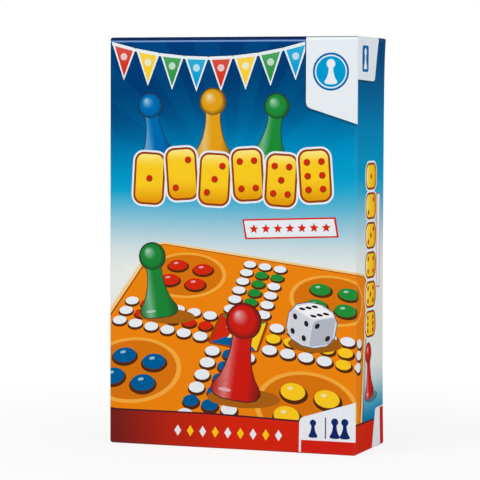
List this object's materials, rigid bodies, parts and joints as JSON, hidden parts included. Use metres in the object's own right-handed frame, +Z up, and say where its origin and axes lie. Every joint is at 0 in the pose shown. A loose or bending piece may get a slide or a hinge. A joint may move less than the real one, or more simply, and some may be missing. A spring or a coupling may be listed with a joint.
{
  "type": "travel ludo game box",
  "caption": "Upright card game box whose full-depth lid slides off a base holding a folding ludo board, formed tray, pawns, a die and a rules leaflet.",
  "frame": {"origin": "middle of the bottom face that the closed box stands on", "axes": "+Z up along the box's height, -Y out of the printed front of the lid, +X to the right seen from the front"},
  "size_m": [0.121, 0.0446, 0.19],
  "materials": {
    "printed_wrap": "satin",
    "base_paper": "satin",
    "greyboard": "matte",
    "corner_tape": "matte",
    "tray_plastic": "gloss",
    "pawn_red": "gloss",
    "pawn_green": "gloss",
    "pawn_yellow": "gloss",
    "pawn_blue": "gloss",
    "die_plastic": "gloss",
    "pip_paint": "satin",
    "board_print": "satin",
    "board_backing": "matte",
    "leaflet_paper": "matte"
  },
  "bodies": {
    "base": {"base_board": "greyboard", "base_corner_tapes": "corner_tape", "base_wrap": "base_paper"},
    "lid": {"lid_board": "greyboard", "lid_corner_tapes": "corner_tape", "lid_wrap": "printed_wrap"},
    "tray": {"insert_tray": "tray_plastic"},
    "pawn_red_1": {"pawn_red_1": "pawn_red"},
    "pawn_red_2": {"pawn_red_2": "pawn_red"},
    "pawn_red_3": {"pawn_red_3": "pawn_red"},
    "pawn_red_4": {"pawn_red_4": "pawn_red"},
    "pawn_green_1": {"pawn_green_1": "pawn_green"},
    "pawn_green_2": {"pawn_green_2": "pawn_green"},
    "pawn_green_3": {"pawn_green_3": "pawn_green"},
    "pawn_green_4": {"pawn_green_4": "pawn_green"},
    "pawn_yellow_1": {"pawn_yellow_1": "pawn_yellow"},
    "pawn_yellow_2": {"pawn_yellow_2": "pawn_yellow"},
    "pawn_yellow_3": {"pawn_yellow_3": "pawn_yellow"},
    "pawn_yellow_4": {"pawn_yellow_4": "pawn_yellow"},
    "pawn_blue_1": {"pawn_blue_1": "pawn_blue"},
    "pawn_blue_2": {"pawn_blue_2": "pawn_blue"},
    "pawn_blue_3": {"pawn_blue_3": "pawn_blue"},
    "pawn_blue_4": {"pawn_blue_4": "pawn_blue"},
    "die": {"die": "die_plastic", "die_pips": "pip_paint"},
    "leaflet": {"rules_leaflet": "leaflet_paper"},
    "board_right": {"board_right_core": "greyboard", "board_right_print": "board_print", "board_right_backing": "board_backing", "board_crease": "board_print"},
    "board_left": {"board_left_core": "greyboard", "board_left_print": "board_print", "board_left_backing": "board_backing"}
  },
  "joints": [
    {"name": "lid_lift", "type": "slide", "parent": "base", "child": "lid", "axis": [0, -1, 0], "range_m": [0, 0.36]},
    {"name": "board_lift", "type": "slide", "parent": "base", "child": "board_right", "axis": [0, -1, 0], "range_m": [0, 0.1152]},
    {"name": "board_unfold", "type": "hinge", "parent": "board_right", "child": "board_left", "pos_m": [-0.0345, -0.0084, 0.095], "axis": [0, 0, -1], "range_deg": [0, 180]},
    {"name": "leaflet_lift", "type": "slide", "parent": "base", "child": "leaflet", "axis": [0, -1, 0], "range_m": [0, 0.0936]},
    {"name": "pawn_red_1_lift", "type": "slide", "parent": "base", "child": "pawn_red_1", "axis": [0, -1, 0], "range_m": [0, 0.0756]},
    {"name": "pawn_red_2_lift", "type": "slide", "parent": "base", "child": "pawn_red_2", "axis": [0, -1, 0], "range_m": [0, 0.0756]},
    {"name": "pawn_red_3_lift", "type": "slide", "parent": "base", "child": "pawn_red_3", "axis": [0, -1, 0], "range_m": [0, 0.0756]},
    {"name": "pawn_red_4_lift", "type": "slide", "parent": "base", "child": "pawn_red_4", "axis": [0, -1, 0], "range_m": [0, 0.0756]},
    {"name": "pawn_green_1_lift", "type": "slide", "parent": "base", "child": "pawn_green_1", "axis": [0, -1, 0], "range_m": [0, 0.0756]},
    {"name": "pawn_green_2_lift", "type": "slide", "parent": "base", "child": "pawn_green_2", "axis": [0, -1, 0], "range_m": [0, 0.0756]},
    {"name": "pawn_green_3_lift", "type": "slide", "parent": "base", "child": "pawn_green_3", "axis": [0, -1, 0], "range_m": [0, 0.0756]},
    {"name": "pawn_green_4_lift", "type": "slide", "parent": "base", "child": "pawn_green_4", "axis": [0, -1, 0], "range_m": [0, 0.0756]},
    {"name": "pawn_yellow_1_lift", "type": "slide", "parent": "base", "child": "pawn_yellow_1", "axis": [0, -1, 0], "range_m": [0, 0.0756]},
    {"name": "pawn_yellow_2_lift", "type": "slide", "parent": "base", "child": "pawn_yellow_2", "axis": [0, -1, 0], "range_m": [0, 0.0756]},
    {"name": "pawn_yellow_3_lift", "type": "slide", "parent": "base", "child": "pawn_yellow_3", "axis": [0, -1, 0], "range_m": [0, 0.0756]},
    {"name": "pawn_yellow_4_lift", "type": "slide", "parent": "base", "child": "pawn_yellow_4", "axis": [0, -1, 0], "range_m": [0, 0.0756]},
    {"name": "pawn_blue_1_lift", "type": "slide", "parent": "base", "child": "pawn_blue_1", "axis": [0, -1, 0], "range_m": [0, 0.0756]},
    {"name": "pawn_blue_2_lift", "type": "slide", "parent": "base", "child": "pawn_blue_2", "axis": [0, -1, 0], "range_m": [0, 0.0756]},
    {"name": "pawn_blue_3_lift", "type": "slide", "parent": "base", "child": "pawn_blue_3", "axis": [0, -1, 0], "range_m": [0, 0.0756]},
    {"name": "pawn_blue_4_lift", "type": "slide", "parent": "base", "child": "pawn_blue_4", "axis": [0, -1, 0], "range_m": [0, 0.0756]},
    {"name": "die_lift", "type": "slide", "parent": "base", "child": "die", "axis": [0, -1, 0], "range_m": [0, 0.0756]},
    {"name": "tray_lift", "type": "slide", "parent": "base", "child": "tray", "axis": [0, -1, 0], "range_m": [0, 0.0468]}
  ],
  "couplings": [
    {"joint": "board_lift", "follows": "lid_lift", "ratio": 0.32},
    {"joint": "board_unfold", "follows": "lid_lift", "rad_per_m": 8.7266},
    {"joint": "leaflet_lift", "follows": "lid_lift", "ratio": 0.26},
    {"joint": "pawn_red_1_lift", "follows": "lid_lift", "ratio": 0.21},
    {"joint": "pawn_red_2_lift", "follows": "lid_lift", "ratio": 0.21},
    {"joint": "pawn_red_3_lift", "follows": "lid_lift", "ratio": 0.21},
    {"joint": "pawn_red_4_lift", "follows": "lid_lift", "ratio": 0.21},
    {"joint": "pawn_green_1_lift", "follows": "lid_lift", "ratio": 0.21},
    {"joint": "pawn_green_2_lift", "follows": "lid_lift", "ratio": 0.21},
    {"joint": "pawn_green_3_lift", "follows": "lid_lift", "ratio": 0.21},
    {"joint": "pawn_green_4_lift", "follows": "lid_lift", "ratio": 0.21},
    {"joint": "pawn_yellow_1_lift", "follows": "lid_lift", "ratio": 0.21},
    {"joint": "pawn_yellow_2_lift", "follows": "lid_lift", "ratio": 0.21},
    {"joint": "pawn_yellow_3_lift", "follows": "lid_lift", "ratio": 0.21},
    {"joint": "pawn_yellow_4_lift", "follows": "lid_lift", "ratio": 0.21},
    {"joint": "pawn_blue_1_lift", "follows": "lid_lift", "ratio": 0.21},
    {"joint": "pawn_blue_2_lift", "follows": "lid_lift", "ratio": 0.21},
    {"joint": "pawn_blue_3_lift", "follows": "lid_lift", "ratio": 0.21},
    {"joint": "pawn_blue_4_lift", "follows": "lid_lift", "ratio": 0.21},
    {"joint": "die_lift", "follows": "lid_lift", "ratio": 0.21},
    {"joint": "tray_lift", "follows": "lid_lift", "ratio": 0.13}
  ]
}
